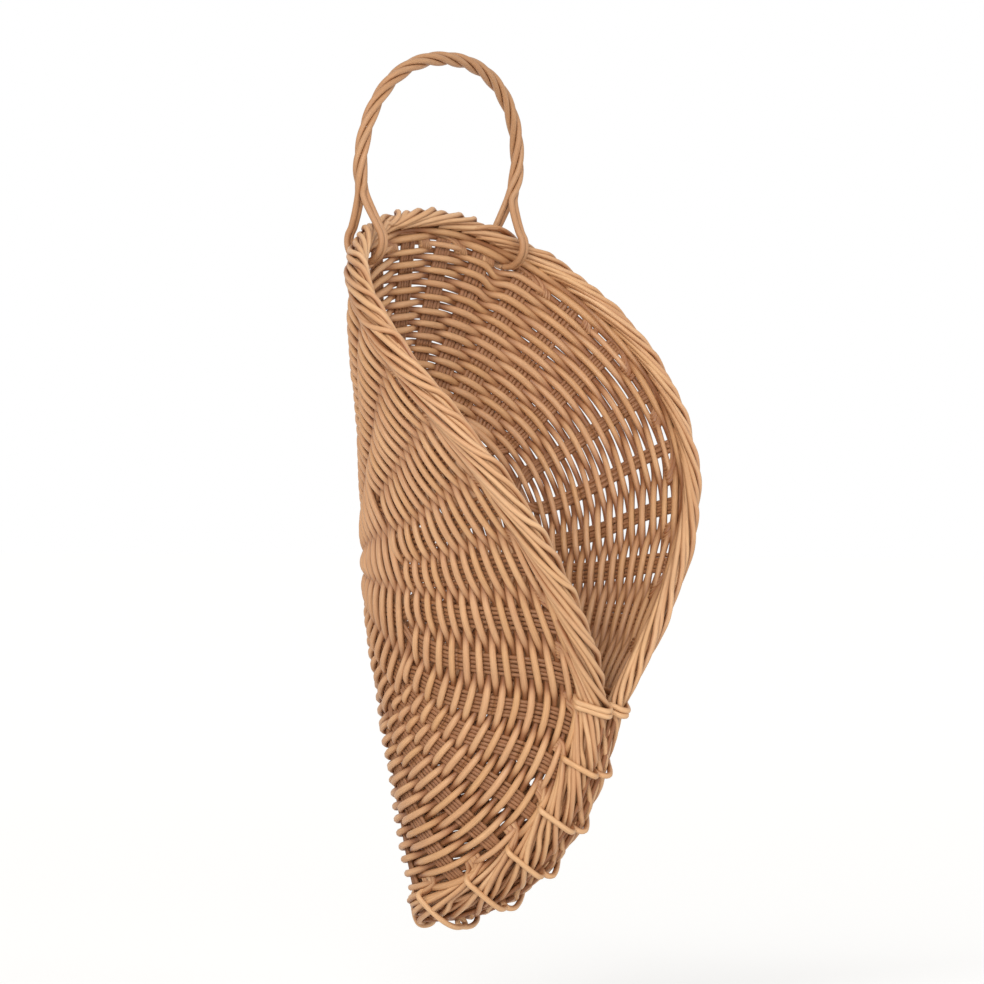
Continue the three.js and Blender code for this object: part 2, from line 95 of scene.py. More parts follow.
def caneMaterial(name, shades, values):
    # Peeled rattan cane, split to a round rod, boiled and dried: a soft sheen, fine pores that run along the
    # rod, and a shade that differs from rod to rod.
    material = bpy.data.materials.new(name)
    material.use_nodes = True
    tree = material.node_tree
    tree.nodes.clear()
    mix = {"data_type": "RGBA", "blend_type": "MIX"}
    strand = addNode(tree, "ShaderNodeAttribute", {"attribute_name": "strand"}, {})
    rod = addNode(tree, "ShaderNodeValToRGB", {}, {"Fac": (strand, "Fac")})
    stops = rod.color_ramp.elements
    for index, shade in enumerate(shades):
        place = index / (len(shades) - 1)
        stop = stops[0] if index == 0 else stops.new(place) if index < len(shades) - 1 else stops[-1]
        stop.position, stop.color = place, linear(shade)
    # attribute "fibre" is the place on the rod in mm: length along it, and the section's two axes
    fibre = addNode(tree, "ShaderNodeAttribute", {"attribute_name": "fibre"}, {})
    # blotches where the skin was peeled unevenly, 20 mm long and about 3 mm wide: 1 / 20 and 1 / 3.3
    long = addNode(tree, "ShaderNodeMapping", {}, {"Vector": (fibre, "Vector"), "Scale": (0.05, 0.3, 0.3)})
    blotch = addNode(tree, "ShaderNodeTexNoise", {},
                     {"Vector": (long, "Vector"), "Scale": 1.0, "Detail": 3.0, "Roughness": 0.6})
    # pores, 0.3 mm wide on real cane, drawn 0.7 mm wide and 9 mm long so that they show: 1 / 9 and 1 / 0.7
    fine = addNode(tree, "ShaderNodeMapping", {}, {"Vector": (fibre, "Vector"), "Scale": (0.11, 1.4, 1.4)})
    pore = addNode(tree, "ShaderNodeTexNoise", {},
                   {"Vector": (fine, "Vector"), "Scale": 1.0, "Detail": 4.0, "Roughness": 0.7})
    warm = addNode(tree, "ShaderNodeMapRange", {},
                   {"Value": (blotch, "Fac"), "From Min": 0.3, "From Max": 0.72,
                    "To Min": 0.0, "To Max": values["blotch"]})
    tone = addNode(tree, "ShaderNodeMix", mix,
                   {0: (warm, "Result"), 6: (rod, "Color"), 7: linear(values["stain"])})
    # painted shade where rods cross: the attribute read here is 1 on top of a rod and 0 down in the weave,
    # and towards 0 a dark, saturated colour is mixed in
    worn = addNode(tree, "ShaderNodeAttribute", {"attribute_name": "worn"}, {})
    paintedShade = addNode(tree, "ShaderNodeMapRange", {},
                   {"Value": (worn, "Fac"), "From Min": 0.0, "From Max": 1.0,
                    "To Min": cane["paintedShade"], "To Max": 0.0})
    tone = addNode(tree, "ShaderNodeMix", mix,
                   {0: (paintedShade, "Result"), 6: (tone, 2), 7: linear(cane["paintedShadeColour"])})
    grey = addNode(tree, "ShaderNodeMapRange", {},
                   {"Value": (pore, "Fac"), "From Min": 0.3, "From Max": 0.7,
                    "To Min": 1 - values["grain"], "To Max": 1 + values["grain"] * cane["lighten"]})
    grain = addNode(tree, "ShaderNodeVectorMath", {"operation": "SCALE"},
                    {0: (tone, 2), "Scale": (grey, "Result")})
    gloss = addNode(tree, "ShaderNodeMapRange", {},
                    {"Value": (blotch, "Fac"), "From Min": 0.3, "From Max": 0.7,
                     "To Min": values["roughness"] - cane["smoother"],
                     "To Max": values["roughness"] + cane["rougher"]})
    bump = addNode(tree, "ShaderNodeBump", {},
                   {"Height": (pore, "Fac"), "Strength": cane["bump"], "Distance": cane["poreDepth"]})
    shader = addNode(tree, "ShaderNodeBsdfPrincipled", {},
                     {"Base Color": (grain, 0), "Roughness": (gloss, "Result"), "Normal": (bump, "Normal"),
                      "IOR": cane["ior"], "Metallic": 0.0})
    addNode(tree, "ShaderNodeOutputMaterial", {}, {"Surface": (shader, "BSDF")})
    return material


# round weavers, golden, and darker down in the weave by painted shade
weaverCane = caneMaterial("woven_rattan_cane",
                          ["#C49266", "#CE9F73", "#C8986E", "#D3A577", "#C99969", "#D0A174"],
                          {"stain": "#B27C54", "blotch": 0.45, "grain": 0.18, "roughness": 0.52})
# stakes, duller and rougher between the weavers
stakeCane = caneMaterial("peeled_rattan_stakes", ["#A87C55", "#B98B62", "#AE805A", "#B5875D"],
                         {"stain": "#95653F", "blotch": 0.5, "grain": 0.18, "roughness": 0.56})
# border strands, paler than the weavers, with painted shade on their sides and undersides
rimCane = caneMaterial("rolled_rattan_border",
                       ["#C49366", "#D8AC7E", "#CB9B6F", "#D5A777", "#DBB084", "#C8976B"],
                       {"stain": "#BC865C", "blotch": 0.4, "grain": 0.14, "roughness": 0.5})
# lacing, the palest
laceCane = caneMaterial("rattan_lacing", ["#D3A373", "#DBAF81", "#D6A97B"],
                        {"stain": "#C08C60", "blotch": 0.4, "grain": 0.15, "roughness": 0.5})
# handle, darker than the weavers, with painted shade where its rods twist together
handleCane = caneMaterial("twisted_rattan_handle", ["#AF825B", "#B98E65", "#B3855E", "#BE946B"],
                          {"stain": "#AC764B", "blotch": 0.45, "grain": 0.16, "roughness": 0.5})
print("materials made")

# The basket is a flat disc that bends about its own back line, as in the CAD model. All in millimetres. The
# last row is for the table of its levels: its reach up and down, its columns, the most that a level may turn
# in radians and keep of its width, and how often whole is halved.
roll = {"radius": 207.0, "wallOffset": 44.0, "centreHeight": -289.0, "seamTopAngle": 66.4,
        "mouthFlatDrop": 10.0, "seamGap": 0.8, "plaitWidth": 8.0, "plaitThickness": 10.0, "bowAtTip": 28.8,
        "bowAtTop": 32.2, "bowSoftness": 0.22, "curlAtTip": 1.85, "curlAtMiddle": 1.92, "curlAtTop": -2.5,
        "seamBlend": 0.03, "foldWidth": 8.0, "rollMiddle": 198.85,
        "tableReach": 216.0, "columns": 161, "mostTurn": 3.6, "mostWidth": 0.998, "halvings": 40}


def smoothStep(value):
    # 0 below 0, 1 above 1, and 3 v^2 - 2 v^3 between
    value = np.clip(value, 0, 1)
    return value * value * (3 - 2 * value)


def unit(vectors):
    # each vector divided by its own length
    return vectors / np.linalg.norm(vectors, axis=-1, keepdims=True)


def halfWidthAt(height):
    # half the chord of the disc at a height, rounded off by the fold's width
    return np.sqrt(np.maximum(roll["radius"] ** 2 - height ** 2, 0) + roll["foldWidth"] ** 2)


def makeRollTable():
    # Each level is a curve whose direction turns by whole * (1 - e^-kt) / (1 - e^-k) at share t of the
    # half width; whole is found by halving, so that the edge ends at the seam or at the mouth's half width.
    heights = np.arange(-roll["tableReach"], roll["tableReach"] + 0.5, 1.0)
    shares = np.linspace(0, 1, roll["columns"])
    half = halfWidthAt(heights)
    share = heights / roll["radius"]
    curl = np.where(share < 0, roll["curlAtMiddle"] - (roll["curlAtTip"] - roll["curlAtMiddle"]) * share,
                    roll["curlAtMiddle"] + (roll["curlAtTop"] - roll["curlAtMiddle"]) * smoothStep(share))
    curl = np.where(np.abs(curl) < 1e-4, 1e-4, curl)[:, None]  # k, kept off zero, where it has no value
    bend = (1 - np.exp(-curl * (shares[1:] + shares[:-1]) / 2)) / (1 - np.exp(-curl))
    seamTop = -roll["radius"] * np.cos(np.radians(roll["seamTopAngle"]))
    opening = (heights - seamTop) / (roll["radius"] - roll["mouthFlatDrop"] - seamTop)
    low, high = np.zeros_like(heights), np.full_like(heights, roll["mostTurn"])
    for halving in range(roll["halvings"]):
        whole = (low + high) / 2
        turned = np.maximum(whole - np.pi / 2, 0)
        along = np.sin(turned) * roll["plaitWidth"] / 2 * roll["radius"] / half
        reach = np.hypot(along, np.cos(turned) * roll["plaitThickness"] / 2) - along
        closed = np.minimum((roll["seamGap"] / 2 + reach) / half, 1)
        wanted = (opening + closed + np.hypot(opening - closed, roll["seamBlend"])) / 2
        wanted = np.minimum(wanted, roll["mostWidth"])
        wide = np.cos(whole[:, None] * bend).mean(1) > wanted
        low, high = np.where(wide, whole, low), np.where(wide, high, whole)
    whole = (low + high) / 2
    angle = whole[:, None] * bend
    start = np.zeros((len(heights), 1))
    soft = roll["bowSoftness"]
    bow = np.where(heights > 0, roll["bowAtTop"], roll["bowAtTip"])
    return {"first": heights[0], "columns": len(shares) - 1, "whole": whole,
            "sideways": np.hstack([start, np.cumsum(np.cos(angle), 1) * shares[1]]),
            "forward": np.hstack([start, np.cumsum(np.sin(angle), 1) * shares[1]]),
            "spine": bow * (np.hypot(share, soft) - soft) / (np.hypot(1, soft) - soft)}


table = makeRollTable()


def middlePoint(across, height):
    # the rolled place of a flat place, read from the table between its four nearest entries
    half = halfWidthAt(height)
    share = np.abs(across) / half
    row = np.clip(height - table["first"], 0, len(table["whole"]) - 1.001)
    column = np.minimum(np.clip(share, 0, 1) * table["columns"], table["columns"] - 1e-6)
    i, j = row.astype(int), column.astype(int)
    u, v = row - i, column - j
    whole = (1 - u) * table["whole"][i] + u * table["whole"][i + 1]
    spine = (1 - u) * table["spine"][i] + u * table["spine"][i + 1]
    walked = [(1 - u) * ((1 - v) * t[i, j] + v * t[i, j + 1])
              + u * ((1 - v) * t[i + 1, j] + v * t[i + 1, j + 1])
              for t in (table["sideways"], table["forward"])]
    beyond = np.maximum(share - 1, 0)
    sideways = (walked[0] + np.cos(whole) * beyond) * half
    forward = (walked[1] + np.sin(whole) * beyond) * half
    return np.stack([np.sign(across) * sideways, roll["wallOffset"] - spine - forward,
                     roll["centreHeight"] + height], -1)


def matPoint(radius, angle, outward=0.0):
    # Place and outward normal at a radius and an angle from the tip, moved out along the normal. The normal
    # is the cross product of two short steps, up and across.
    radius, angle, outward = np.broadcast_arrays(radius, angle, outward)
    across, height = radius * np.sin(angle), -radius * np.cos(angle)
    step = 0.6
    normal = unit(np.cross(middlePoint(across, height + step) - middlePoint(across, height - step),
                           middlePoint(across + step, height) - middlePoint(across - step, height)))
    return middlePoint(across, height) + normal * outward[..., None], normal


def smoothPath(points, steps, closed=False):
    # centripetal Catmull-Rom curve: knots a square root of the chord apart, three levels of blending
    points = np.asarray(points, float)
    if closed:
        ring = np.vstack([points[-1:], points, points[:2]])
    else:
        ring = np.vstack([2 * points[:1] - points[1:2], points, 2 * points[-1:] - points[-2:-1]])
    a, b, c, d = ring[:-3], ring[1:-2], ring[2:-1], ring[3:]
    gap = [np.sqrt(np.linalg.norm(q - p, axis=1))[:, None, None] + 1e-9 for p, q in ((a, b), (b, c), (c, d))]
    ta, tb = 0 * gap[0], gap[0]
    tc = tb + gap[1]
    td = tc + gap[2]
    t = tb + gap[1] * (np.arange(steps) / steps)[None, :, None]
    a, b, c, d = (p[:, None] for p in (a, b, c, d))
    ab = ((tb - t) * a + (t - ta) * b) / (tb - ta)
    bc = ((tc - t) * b + (t - tb) * c) / (tc - tb)
    cd = ((td - t) * c + (t - tc) * d) / (td - tc)
    abc = ((tc - t) * ab + (t - ta) * bc) / (tc - ta)
    bcd = ((td - t) * bc + (t - tb) * cd) / (td - tb)
    path = (((tc - t) * abc + (t - tb) * bcd) / (tc - tb)).reshape(-1, 3)
    return path if closed else np.vstack([path, points[-1:]])


def evenPath(path, count):
    # the same curve with its points at equal lengths
    length = np.concatenate([[0], np.cumsum(np.linalg.norm(np.diff(path, axis=0), axis=1))])
    wanted = np.linspace(0, length[-1], count)
    return np.stack([np.interp(wanted, length, path[:, i]) for i in range(3)], -1)


def sweep(centres, outward, wide, thick, sides, closed=False):
    # An oval section carried along each row of centres, its second axis turned to the outward direction.
    # Returns the rings, and for the grain the place on the rod: length along it and the two axes.
    if closed:
        tangent = np.roll(centres, -1, 1) - np.roll(centres, 1, 1)
    else:
        tangent = np.gradient(centres, axis=1)
    tangent = unit(tangent)
    side = unit(np.cross(outward, tangent))
    up = np.cross(tangent, side)
    turn = 2 * np.pi * (np.arange(sides) + 0.5) / sides
    every = np.ones((*centres.shape[:2], 1))
    x = (np.cos(turn) * np.asarray(wide)[..., None] / 2) * every
    y = (np.sin(turn) * np.asarray(thick)[..., None] / 2) * every
    rings = centres[:, :, None] + side[:, :, None] * x[..., None] + up[:, :, None] * y[..., None]
    step = np.linalg.norm(np.diff(centres, axis=1), axis=-1)
    along = np.concatenate([np.zeros((len(centres), 1)), np.cumsum(step, 1)], 1)
    place = np.stack([along[..., None] * np.ones(sides), x, y], -1)
    return rings, place


def sweepOne(path, outward, wide, thick, sides, closed=False):
    # one rod of the same section all along
    return sweep(path[None], outward[None], np.array([[wide]]), np.array([[thick]]), sides, closed)


def carriedAlong(centres, start):
    # a direction square to the path at each of its points, carried along without turning
    tangent = unit(np.gradient(centres, axis=0))
    direction = np.zeros_like(centres)
    current = np.asarray(start, float)
    for index, t in enumerate(tangent):
        current = current - t * np.dot(current, t)
        current /= np.linalg.norm(current)
        direction[index] = current
    return direction


def topSide(place, thick):
    # 1 on the side of a rod that faces out of the weave, 0 on its inner side
    return smoothStep(place[..., 2] / thick + 0.5)


def makePiece(name, parts, material, body, replaced=()):
    # Rings of equally many points become closed tubes: quads between rings, and a cap at each open end.
    # Each part is (rings, place, closed, strand, shade mask): strand is one number from 0 to 1 for each rod,
    # and the shade mask is 1 on top of a rod and 0 down in the weave, where shade is painted into the colour.
    points, quads, caps, strands, fibres, unshadedMasks, start = [], [], [], [], [], [], 0
    for rings, place, closed, strand, worn in parts:
        rods, steps, sides = rings.shape[:3]
        index = start + np.arange(rods * steps * sides).reshape(rods, steps, sides)
        here, there = (index, np.roll(index, -1, 1)) if closed else (index[:, :-1], index[:, 1:])
        quads.append(np.stack([here, np.roll(here, -1, 2), np.roll(there, -1, 2), there], -1).reshape(-1, 4))
        if not closed:
            caps += [index[:, 0, ::-1], index[:, -1]]
        points.append(rings.reshape(-1, 3))
        shade = np.broadcast_to(np.asarray(strand, float)[:, None, None], (rods, steps, sides))
        strands.append(shade.ravel())
        shift = np.stack([shade * 977, shade * 53, shade * 31], -1)  # so that no two rods show the same grain
        fibres.append((place + shift).reshape(-1, 3))
        unshadedMasks.append(np.broadcast_to(worn, (rods, steps, sides)).ravel())
        start += rings.size // 3
    points, quads = np.concatenate(points) / 1000, np.concatenate(quads)
    corners, sizes = [quads.ravel()], [np.full(len(quads), 4)]
    for cap in caps:
        corners.append(cap.ravel())
        sizes.append(np.full(len(cap), cap.shape[1]))
    corners, sizes = np.concatenate(corners), np.concatenate(sizes)
    mesh = bpy.data.meshes.new(name)
    mesh.vertices.add(len(points))
    mesh.vertices.foreach_set("co", points.astype(np.float32).ravel())
    mesh.loops.add(len(corners))
    mesh.loops.foreach_set("vertex_index", corners.astype(np.int32))
    mesh.polygons.add(len(sizes))
    mesh.polygons.foreach_set("loop_start", (np.cumsum(sizes) - sizes).astype(np.int32))
    mesh.update(calc_edges=True)
    smooth = np.ones(len(sizes), bool)
    smooth[len(quads):] = False
    mesh.polygons.foreach_set("use_smooth", smooth)
    for key, kind, field, values in (("strand", "FLOAT", "value", strands), ("worn", "FLOAT", "value", unshadedMasks),
                                     ("fibre", "FLOAT_VECTOR", "vector", fibres)):
        layer = mesh.attributes.new(key, kind, "POINT")
        layer.data.foreach_set(field, np.concatenate(values).astype(np.float32).ravel())
    mesh.validate()
    piece = bpy.data.objects.new(name, mesh)
    bpy.context.scene.collection.objects.link(piece)
    piece.data.materials.append(material)
    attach(piece, body)
    if replaced:
        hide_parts(*replaced)
    print("piece", name, "faces", len(sizes))
    return piece


# 34 groups of stakes run out from the centre of the mat, in pairs inside the split radius. Bands are the
# rings of the CAD model. Places round the mat are counted in groups from the tip, negative to the left, and
# angles are degrees from the tip. A bell is (size, middle, width), in degrees here and in groups below.
mat = {"centreRadius": 24.0, "bandStep": 20.8, "bands": 8, "groups": 34, "splitRadius": 97.0,
       "crowding": (4.6, 40.0, 28.0), "lowSweep": (9.5, 58.0, 20.0), "highSweep": (4.0, 102.0, 17.0),
       "sweepStart": 104.0, "sweepEnd": 184.0, "holeRadius": 188.0, "holeReach": 9.0,
       "tieAngles": [66.4, 54.92, 43.44, 31.96, 20.48, 9.0], "footAngle": 159.4}
groups = mat["groups"]
edges = mat["centreRadius"] + mat["bandStep"] * np.arange(mat["bands"] + 1)


def bellAt(bell, value):
    # size * e^-((value - middle) / width)^2
    return bell[0] * np.exp(-((value - bell[1]) / bell[2]) ** 2)


def groupAngle(group, radius):
    # the angle of a place counted in groups: crowded away from the tip at the rim, swept back to it inside
    even = 360 / groups * np.abs(group)
    atRim = even + bellAt(mat["crowding"], even) - bellAt(mat["crowding"], -even)
    swept = bellAt(mat["lowSweep"], atRim) + bellAt(mat["highSweep"], atRim)
    share = smoothStep((mat["sweepEnd"] - radius) / (mat["sweepEnd"] - mat["sweepStart"]))
    return np.sign(group) * np.radians(atRim - swept * share)


def wrapped(group):
    # a count that runs on round the mat, brought back to between -17 and 17
    half = groups / 2
    return (group + half) % groups - half


def everyPair(first, second):
    # each number below first with each number below second, as two columns
    return [grid.reshape(-1, 1) for grid in np.indices((first, second))]


def spread(radius, angle, places, room):
    # Pushes rods sideways where a tie or a handle rod passes through the weave: a rod at the distance d
    # goes to the root of d^2 + w^2. Room is (w, how far in and out from the holes it fades).
    for place in places:
        for side in (-1, 1):
            lateral = (angle - side * np.radians(place)) * radius
            width = room[0] * np.exp(-((radius - mat["holeRadius"]) / room[1]) ** 2)
            near = np.exp(-(lateral / mat["holeReach"]) ** 2)
            moved = np.where(lateral < 0, -1, 1) * np.hypot(lateral, width)
            angle = angle + near * (moved - lateral) / radius
    return angle


# Weavers go over one group and under the next. The weave is tight low on the right and near the top, where
# the weavers also rise less, and loose between these two and at the very top.
weaver = {"pitch": 3.82, "width": 4.0, "thickness": 3.5, "sides": 8, "wave": 3.0, "flatness": 0.7,
          "topHeight": 3.5, "tight": 0.055, "tightLow": (0.12, 6.8, 2.2), "tightHigh": (0.13, 13.7, 1.8),
          "loose": (0.19, 10.7, 1.6), "looseTop": (0.09, 17.0, 0.9), "calmLow": (0.62, 6.5, 2.6),
          "calmHigh": (0.38, 13.6, 1.8)}
# Outside the split radius they are closed rounds. At the handle's feet the rounds inside the loops are
# drawn together, to leave room for the rods.
rounds = {"first": 98.9, "count": 27, "steps": 12, "waver": 0.2, "bends": (2, 7), "uneven": 0.2,
          "heightSpread": 0.05, "widthSpread": 0.04, "rimStart": 186.0, "rimDepth": 11.0, "rimCalm": 0.55,
          "footRoom": 4.0, "footRounds": 24, "footStart": 150.0, "footDepth": 36.8, "footReach": 8.0}
# Inside it they are one spiral, thinner at the centre. The step between the spiral's two ends is shared out
# over a number of rounds.
spiral = {"start": 15.2, "steps": 6, "shareOver": 8.0, "stepEdge": 0.03, "centreSize": 0.9, "thinTo": 30.0,
          "thinFade": 40.0, "calmFrom": 60.0, "calmFade": 30.0, "bands": 4, "strand": 0.45}


def fullness(group):
    # the weavers' width at a place, as a share of the plain width
    at = wrapped(group)
    extra = bellAt(weaver["tightLow"], at) + bellAt(weaver["tightHigh"], at) - bellAt(weaver["loose"], at)
    return 1 + weaver["tight"] + extra - bellAt(weaver["looseTop"], np.abs(at))


def flatWave(turn):
    # a cosine with its tops flattened, tanh(f cos) / tanh(f)
    return np.tanh(weaver["flatness"] * np.cos(turn)) / np.tanh(weaver["flatness"])


def spiralShift(group, away):
    # The spiral's last turn ends one pitch further out than it began. The closed rounds outside it take
    # half of that, the turns inside it the other half, and both fade out over a number of rounds.
    turns = (mat["splitRadius"] - spiral["start"]) / weaver["pitch"]
    after = (group / groups - turns) % 1
    edge = smoothStep(np.minimum(after, 1 - after) / spiral["stepEdge"])
    fade = np.clip(1 - away / (spiral["shareOver"] * weaver["pitch"]), 0, 1)
    return weaver["pitch"] / 4 * (1 - 2 * after) * edge * fade


def makeRounds(values, parts):
    # outward offset = wave * flattened cosine of the group count, its sign changing every round
    group = np.arange(groups * values["steps"]) / values["steps"] - groups / 2
    number = np.arange(values["count"])[:, None]
    out = weaver["pitch"] * number
    radius = values["first"] + out - spiralShift(group, out)
    bends = chance.integers(*values["bends"], (len(number), 1))
    slow = np.sin(2 * np.pi * (group / groups * bends + chance.random((len(number), 1))))
    uneven = chance.normal(0, values["uneven"], (len(number), groups))
    uneven = np.stack([np.interp(group + groups / 2, np.arange(groups + 1), np.append(row, row[0]))
                       for row in uneven])
    radius = radius + values["waver"] * slow + uneven
    room = np.clip((radius - values["footStart"]) / values["footDepth"], 0, 1)
    room = values["footRoom"] * np.where(number < values["footRounds"], room, 0)
    for side in (-1, 1):
        away = (groupAngle(group, radius) - side * np.radians(mat["footAngle"])) * values["rimStart"]
        radius = radius - room * np.exp(-(away / values["footReach"]) ** 2)
    sign = np.where(number % 2 == 0, 1.0, -1.0)
    calm = bellAt(weaver["calmLow"], group) + bellAt(weaver["calmHigh"], group)
    atRim = smoothStep((radius - values["rimStart"]) / values["rimDepth"])
    rise = weaver["wave"] * (1 - values["rimCalm"] * atRim) * (1 - calm)
    height = sign * flatWave(np.pi * (group - 0.5)) * rise
    height = height * (1 + chance.normal(0, values["heightSpread"], (len(number), 1)))
    centres, normal = matPoint(radius, groupAngle(group, radius), height)
    wide = weaver["width"] * (1 + chance.normal(0, values["widthSpread"], (len(number), 1))) * fullness(group)
    thick = wide * weaver["thickness"] / weaver["width"]
    rings, place = sweep(centres, normal, wide, thick, weaver["sides"], True)
    # painted shade: the mask falls to 0 where the weaver's surface lies low in the weave, under the crossing
    # rods
    worn = smoothStep(np.abs(height[..., None] + place[..., 2]) / weaver["topHeight"])
    shade = chance.random(len(number))
    middle = np.minimum(values["first"] + out[:, 0], edges[-1] - 1)
    for n in range(1, mat["bands"] + 1):
        inside = (middle >= edges[n - 1]) & (middle < edges[n])
        if inside.any():
            parts[n].append((rings[inside], place[inside], True, shade[inside], worn[inside]))


def makeSpiral(values, parts):
    # over 17 pairs, an odd number, so that the weaver's sign changes every turn by itself
    turns = (mat["splitRadius"] - values["start"]) / weaver["pitch"]
    count = np.arange(int(turns * groups * values["steps"]) + 1) / values["steps"]
    radius = mat["splitRadius"] - weaver["pitch"] * (turns - count / groups)
    radius = radius + spiralShift(count, mat["splitRadius"] - radius)
    full = smoothStep((radius - values["thinTo"]) / values["thinFade"])
    size = values["centreSize"] + (1 - values["centreSize"]) * full
    calm = smoothStep((radius - values["calmFrom"]) / values["calmFade"])
    calm = calm * bellAt(weaver["calmLow"], wrapped(count))
    height = flatWave(np.pi * (count - 1) / 2) * weaver["wave"] * size * (1 - calm)
    centres, normal = matPoint(radius, groupAngle(wrapped(count), radius), height)
    wide = (weaver["width"] * size * fullness(count))[None]
    thick = wide * weaver["thickness"] / weaver["width"]
    rings, place = sweep(centres[None], normal[None], wide, thick, weaver["sides"])
    # painted shade: the mask falls to 0 where the weaver's surface lies low in the weave, under the crossing
    # rods
    worn = smoothStep(np.abs(height[None, :, None] + place[..., 2]) / weaver["topHeight"])
    cuts = [0] + [int(np.argmax(radius > edge)) for edge in edges[:values["bands"]]] + [len(count) - 1]
    shade = np.array([values["strand"]])
    for n in range(len(cuts) - 1):
        piece = slice(cuts[n], cuts[n + 1] + 1)
        parts[n].append((rings[:, piece], place[:, piece], False, shade, worn[:, piece]))


# Five stakes to a group. They are thick where the weave is tight, and at one place bunched, one above
# another. Starts are the radii at which stakes begin, with a step or a random share added.
# The last value gives every stake painted shade all along, as they lie down in the weave between the weavers.
stakes = {"diameter": 2.5, "diameterSpread": 0.05, "sides": 6, "spacing": 2.42, "leftSpacing": 1.12,
          "mergedSpacing": 1.4, "mergeStart": 88.0, "mergeDepth": 17.0, "perBand": 12,
          "bunched": (0.42, 10.8, 1.8), "bunchedLift": 2.2, "thickHigh": (0.26, 14.8, 1.9),
          "thickLow": (0.2, 5.8, 2.4), "wander": 0.2, "wanderLength": 17.0, "lift": 0.2, "liftLength": 9.0,
          "phase": 7, "tieRoom": (2.4, 7.0), "footRoom": (5.0, 9.0), "newStart": 96.0, "newStep": 1.3,
          "newSpread": 2.5, "middleStart": 44.0, "outerStart": 46.0, "outerSpread": 2.0, "worn": 0.42}


def makeStakes(values, parts):
    # Ten stakes for each pair of groups. Five of them come from inside, side by side, and fan out at the
    # split radius; the other five begin there between them, with cut ends. Of the first five, the second
    # and fourth run in to the centre, and the others begin further out, where there is room.
    perBand = values["perBand"]
    pair, member = everyPair(groups // 2, 10)
    radii = np.linspace(edges[0], edges[-1], mat["bands"] * perBand + 1)[None]
    merged = 1 - smoothStep((radii - values["mergeStart"]) / values["mergeDepth"])
    home = np.where(member < 5, -0.5, 0.5)
    at = wrapped(2 * pair + 1 + home)
    bunched = bellAt(values["bunched"], at)
    thick = 1 + bellAt(values["thickHigh"], at) + bellAt(values["thickLow"], at)
    spacing = values["spacing"] * (1 - bunched) * thick * np.where(at < 0, values["leftSpacing"], 1)
    lateral = (member % 5 - 2) * spacing * (1 - merged)
    fromInside = np.isin(member, (0, 1, 2, 8, 9))
    order = np.where(member < 3, member, member - 5)
    beside = np.where(fromInside, (order - 2) * spacing, (member - 5) * values["mergedSpacing"])
    lateral = lateral + beside * merged
    phase = values["phase"] * chance.random(member.shape)
    wander = values["wander"] * np.sin(radii / values["wanderLength"] + phase)
    place = wrapped(2 * pair + 1 + home * (1 - merged) + 0 * radii)
    angle = groupAngle(place, radii) + (lateral + wander) / radii
    angle = spread(radii, angle, mat["tieAngles"], values["tieRoom"])
    angle = spread(radii, angle, [mat["footAngle"]], values["footRoom"])
    phase = values["phase"] * chance.random(member.shape)
    lift = values["lift"] * np.sin(radii / values["liftLength"] + phase)
    lift = lift + values["bunchedLift"] * bunched * (member % 2 - 0.5)
    centres, normal = matPoint(radii, angle, lift)
    wide = values["diameter"] * thick * (1 + chance.normal(0, values["diameterSpread"], member.shape))
    rings, grain = sweep(centres, normal, wide, wide, values["sides"])
    shade = chance.random(len(member))
    new = values["newStart"] + np.abs(member - 5) * values["newStep"]
    new = new + chance.random(member.shape) * values["newSpread"]
    outer = values["outerStart"] + values["outerSpread"] * chance.random(len(member))
    fromInside, order = fromInside[:, 0], order[:, 0]
    starts = np.where(fromInside, 0, new[:, 0])
    starts = np.where(fromInside & (order == 2), values["middleStart"], starts)
    starts = np.where(fromInside & ((order == 0) | (order == 4)), outer, starts)
    first = np.ceil((starts - edges[0]) / mat["bandStep"] * perBand).clip(0).astype(int)
    for n in range(1, mat["bands"] + 1):
        low, high = (n - 1) * perBand, n * perBand
        for begin in np.unique(first.clip(low, high)):
            chosen = first.clip(low, high) == begin
            span = slice(begin, high + 1)
            if begin < high:
                parts[n].append((rings[chosen, span], grain[chosen, span], False, shade[chosen],
                                 values["worn"]))


# The centre of the mat: eight rods laid across nine, in two layers, their 34 ends fanned out to the stakes.
# The last value gives the centre's rods painted shade all along, as they lie under the spiral weaver.
cross = {"spacing": 2.25, "sides": 6, "layer": 1.15, "layerStart": 6.0, "layerFade": 12.0, "fanStart": 7.0,
         "fanDepth": 16.0, "steps": 16, "worn": 0.6}


